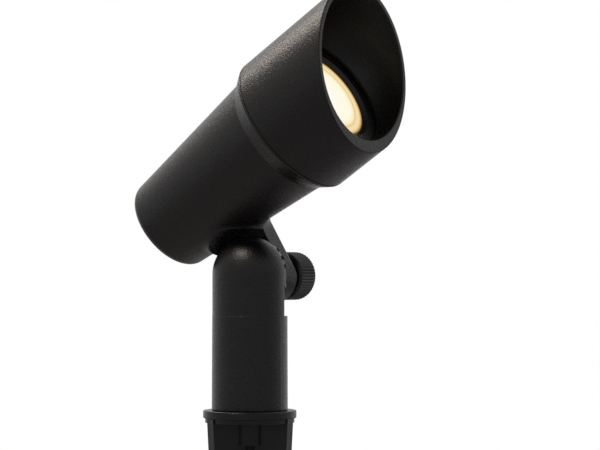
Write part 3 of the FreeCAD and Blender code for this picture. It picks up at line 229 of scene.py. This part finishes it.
def machinedMetal(name, look):
    # bare metal: machining marks change the gloss more than the colour
    material, tree, shader = newMaterial(name, {"Metallic": 1.0})
    point = addNode(tree, "ShaderNodeTexCoord").outputs["Object"]
    cloud = addNode(tree, "ShaderNodeTexNoise", inputs={
        "Vector": point, "Scale": 1 / (machining["cloudMm"] * mm), "Detail": 4.0, "Roughness": 0.6})
    mark = addNode(tree, "ShaderNodeTexNoise", inputs={
        "Vector": point, "Scale": 1 / (machining["markMm"] * mm), "Detail": 2.0, "Roughness": 0.6})
    colour = addNode(tree, "ShaderNodeValToRGB", inputs={"Fac": cloud.outputs["Fac"]}, stops=[
        (noiseLow, look["dark"]), (noiseHigh, look["light"])])
    rough = addNode(tree, "ShaderNodeMapRange", inputs={
        "Value": mark.outputs["Fac"], "From Min": noiseLow, "From Max": noiseHigh,
        "To Min": look["roughness"] - machining["glossier"],
        "To Max": look["roughness"] + machining["duller"]})
    bump = addNode(tree, "ShaderNodeBump", inputs={
        "Height": mark.outputs["Fac"], "Distance": machining["bumpMm"] * mm, "Strength": 1.0})
    tree.links.new(colour.outputs["Color"], shader.inputs["Base Color"])
    tree.links.new(rough.outputs["Result"], shader.inputs["Roughness"])
    tree.links.new(bump.outputs["Normal"], shader.inputs["Normal"])
    return material


litGlassLook = {
    "reachMm": 24.0,          # radius at the end of the colour ramp
    # (radius in mm, colour of the light there)
    "rings": [(0.0, "#fffcf0"), (12.8, "#fff8e0"), (14.4, "#f9ebc2"), (15.6, "#e6c88e"),
              (16.3, "#f3dfae"), (17.8, "#eedda8"), (18.7, "#d6a868"), (19.5, "#5f3a1a"),
              (21.5, "#1c1006")],
    "unlit": "#14100a",
    "strength": 1.0,
    "roughness": 0.12,
}


def litGlass(name, look):
    # tempered glass over a lit lamp: warm white, with the lamp's rings showing through. The ring's
    # radius is the length of the cross product of the head's axis with the way from it to the point
    material, tree, shader = newMaterial(name, {
        "Base Color": toLinear(look["unlit"]), "Metallic": 0.0, "IOR": 1.5,
        "Roughness": look["roughness"], "Emission Strength": look["strength"]})
    point = addNode(tree, "ShaderNodeTexCoord").outputs["Object"]
    fromAxis = addNode(tree, "ShaderNodeVectorMath", {"operation": "SUBTRACT"}, {
        0: point, 1: tuple(pointOnAxis)})
    across = addNode(tree, "ShaderNodeVectorMath", {"operation": "CROSS_PRODUCT"}, {
        0: fromAxis.outputs["Vector"], 1: tuple(headAxis)})
    radius = addNode(tree, "ShaderNodeVectorMath", {"operation": "LENGTH"}, {
        0: across.outputs["Vector"]})
    share = addNode(tree, "ShaderNodeMath", {"operation": "DIVIDE"}, {
        0: radius.outputs["Value"], 1: look["reachMm"] * mm})
    colour = addNode(tree, "ShaderNodeValToRGB", inputs={"Fac": share.outputs[0]}, stops=[
        (ring / look["reachMm"], shade) for ring, shade in look["rings"]])
    tree.links.new(colour.outputs["Color"], shader.inputs["Emission Color"])
    return material


clearOpticLook = {"warm": "#fff6df", "clear": "#fffaf0", "cloudMm": 3.0, "roughness": 0.08}


def clearOptic(name, look):
    # clear moulded acrylic in front of the emitters
    material, tree, shader = newMaterial(name, {
        "Metallic": 0.0, "IOR": 1.49, "Roughness": look["roughness"], "Transmission Weight": 1.0})
    point = addNode(tree, "ShaderNodeTexCoord").outputs["Object"]
    cloud = addNode(tree, "ShaderNodeTexNoise", inputs={
        "Vector": point, "Scale": 1 / (look["cloudMm"] * mm), "Detail": 2.0, "Roughness": 0.5})
    colour = addNode(tree, "ShaderNodeValToRGB", inputs={"Fac": cloud.outputs["Fac"]}, stops=[
        (noiseLow, look["warm"]), (noiseHigh, look["clear"])])
    tree.links.new(colour.outputs["Color"], shader.inputs["Base Color"])
    return material


finishes = {
    "coated_aluminium": powderCoat("powderCoatBlack", powderCoatLook),
    "spike_plastic": mouldedPlastic("glassFilledNylonBlack", plasticLook["spike"]),
    "knob_plastic": mouldedPlastic("mouldedKnobBlack", plasticLook["knob"]),
    "splice_plastic": mouldedPlastic("mouldedNylonGrey", plasticLook["grey"]),
    "lamp_plastic": mouldedPlastic("mouldedPbtWhite", plasticLook["white"]),
    "ceramic": mouldedPlastic("pressedSteatite", plasticLook["steatite"]),
    "black_rubber": mouldedPlastic("siliconeRubberBlack", plasticLook["rubber"]),
    "lead_insulation": mouldedPlastic("siliconeWireBlack", plasticLook["lead"]),
    "brass": machinedMetal("machinedBrass", metalLook["brass"]),
    "stainless_steel": machinedMetal("turnedStainless", metalLook["stainless"]),
    "zinc_plate": machinedMetal("zincPlatedSteel", metalLook["zinc"]),
    "lamp_aluminium": machinedMetal("spunAluminium", metalLook["aluminium"]),
    "circuit_board": mouldedPlastic("solderMaskWhite", plasticLook["solderMask"]),
    "clear_optic": clearOptic("clearAcrylic", clearOpticLook),
    "lens_glass": litGlass("temperedGlassLit", litGlassLook),
}

for part in frame["record"]["subparts"]:
    data = nodes[part["node"]].data
    data.materials.clear()
    data.materials.append(finishes[part["material_slot"]])
print("materials:", len(finishes))


stageLook = {
    "floorRadius": 1.4,
    "floorSides": 96,
    "floorGap": 0.0005,
    "floorColour": "#d6d6d6",
    "floorRoughness": 0.9,
    "worldColour": "#dfe8ff",
    "worldStrength": 0.25,
}


def makeWorld(look):
    world = bpy.data.worlds.new("softStudio")
    bpy.context.scene.world = world
    world.use_nodes = True
    tree = world.node_tree
    tree.nodes.clear()
    output = addNode(tree, "ShaderNodeOutputWorld")
    soft = addNode(tree, "ShaderNodeBackground", inputs={
        "Color": toLinear(look["worldColour"]), "Strength": look["worldStrength"]})
    # the camera, mirrors and glass see plain white; what lights the object is the softer world
    path = addNode(tree, "ShaderNodeLightPath")
    seen = addNode(tree, "ShaderNodeMath", {"operation": "MAXIMUM"}, {
        0: path.outputs["Is Camera Ray"], 1: path.outputs["Is Glossy Ray"]})
    seen = addNode(tree, "ShaderNodeMath", {"operation": "MAXIMUM"}, {
        0: seen.outputs[0], 1: path.outputs["Is Transmission Ray"]})
    white = addNode(tree, "ShaderNodeBackground", inputs={"Color": (1, 1, 1, 1), "Strength": 1.0})
    mix = addNode(tree, "ShaderNodeMixShader", inputs={
        0: seen.outputs[0], 1: soft.outputs[0], 2: white.outputs[0]})
    tree.links.new(mix.outputs[0], output.inputs["Surface"])


def makeFloor(look):
    # a disc just under the spike's tip: radius times cosine and sine of the angle
    count = look["floorSides"]
    angle = np.linspace(0, 2 * np.pi, count, endpoint=False)
    points = np.stack([look["floorRadius"] * np.cos(angle), look["floorRadius"] * np.sin(angle),
                       np.full(count, cadLow.z - look["floorGap"])], axis=1)
    mesh = bpy.data.meshes.new("floor")
    mesh.from_pydata(points.tolist(), [], [list(range(count))])
    floor = bpy.data.objects.new("floor", mesh)
    bpy.context.scene.collection.objects.link(floor)
    mesh.materials.append(newMaterial("paperWhite", {
        "Base Color": toLinear(look["floorColour"]), "Roughness": look["floorRoughness"]})[0])


makeWorld(stageLook)
makeFloor(stageLook)

# a lamp's place is from the target: right and up as the camera sees it, and towards the camera
lightLook = {
    "target": (0.0, 0.0, 0.10),
    "warm": "#fff2e6",
    "lamps": {
        "frontAbove": {"right": -0.42, "up": 1.01, "near": 0.32, "wide": 0.16, "high": 0.16, "watts": 10.0},
        "backAbove": {"right": -0.75, "up": 0.9, "near": -0.55, "wide": 0.4, "high": 0.4, "watts": 9.0},
        "rightEdge": {"right": 1.0, "up": 0.2, "near": -0.7, "wide": 0.4, "high": 1.0, "watts": 0.5},
    },
}


def makeLights(look):
    view = camera.rotation_quaternion.to_matrix()
    right, up, near = view.col[0], view.col[1], view.col[2]
    target = Vector(look["target"])
    for name, box in look["lamps"].items():
        data = bpy.data.lights.new(name, "AREA")
        data.shape = "RECTANGLE"
        data.size = box["wide"]
        data.size_y = box["high"]
        data.energy = box["watts"]
        data.color = toLinear(look["warm"])[:3]
        lamp = bpy.data.objects.new(name, data)
        lamp.location = target + right * box["right"] + up * box["up"] + near * box["near"]
        lamp.rotation_mode = "QUATERNION"
        lamp.rotation_quaternion = (target - lamp.location).to_track_quat("-Z", "Y")
        bpy.context.scene.collection.objects.link(lamp)


makeLights(lightLook)
bpy.context.scene.view_settings.view_transform = "Standard"
print("stage and lights: in place")

bpy.context.view_layer.update()
